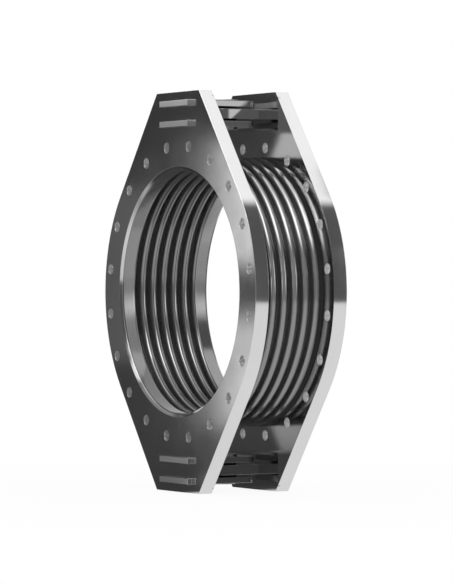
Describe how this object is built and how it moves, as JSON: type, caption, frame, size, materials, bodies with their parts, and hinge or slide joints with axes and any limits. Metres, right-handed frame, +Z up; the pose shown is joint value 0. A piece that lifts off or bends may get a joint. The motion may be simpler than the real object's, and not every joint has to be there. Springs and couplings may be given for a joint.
{
  "type": "hinged expansion joint",
  "caption": "Hinged metal bellows expansion joint: two plate flanges with bolt holes, a convoluted steel bellows between them, and a clevis hinge above and below that lets one flange swing.",
  "frame": {"origin": "where the pipe axis crosses the axis of the two hinge pins, midway between the flanges", "axes": "+Y along the pipe from the front flange to the rear one, +Z up along the hinge pins, +X to the right seen from the front"},
  "size_m": [0.645, 0.23, 0.82],
  "materials": {
    "flange_steel": "faced stainless plate, bright",
    "bellows_steel": "cold-formed stainless sheet, dull grey",
    "lug_steel": "milled stainless bar with matt sawn ends",
    "pin_steel": "turned stainless steel",
    "bush_bronze": "plain bearing bronze",
    "washer_plastic": "black bearing plastic, matt"
  },
  "bodies": {
    "front": {"front_flange": "flange_steel", "bellows": "bellows_steel", "top_outer_lug": "lug_steel", "top_inner_lug": "lug_steel", "bottom_outer_lug": "lug_steel", "bottom_inner_lug": "lug_steel", "top_hinge_pin": "pin_steel", "bottom_hinge_pin": "pin_steel", "top_outer_pin_disc": "pin_steel", "top_inner_pin_disc": "pin_steel", "bottom_outer_pin_disc": "pin_steel", "bottom_inner_pin_disc": "pin_steel", "top_outer_spacer": "washer_plastic", "top_inner_spacer": "washer_plastic", "bottom_outer_spacer": "washer_plastic", "bottom_inner_spacer": "washer_plastic"},
    "rear": {"rear_flange": "flange_steel", "top_centre_lug": "lug_steel", "bottom_centre_lug": "lug_steel", "top_bush": "bush_bronze", "bottom_bush": "bush_bronze"}
  },
  "joints": [
    {"name": "hinge_swing", "type": "hinge", "parent": "front", "child": "rear", "pos_m": [0, 0, 0], "axis": [0, 0, 1], "range_deg": [-7, 7], "stiffness_Nm_per_rad": 7000, "deforming": ["bellows"]}
  ]
}
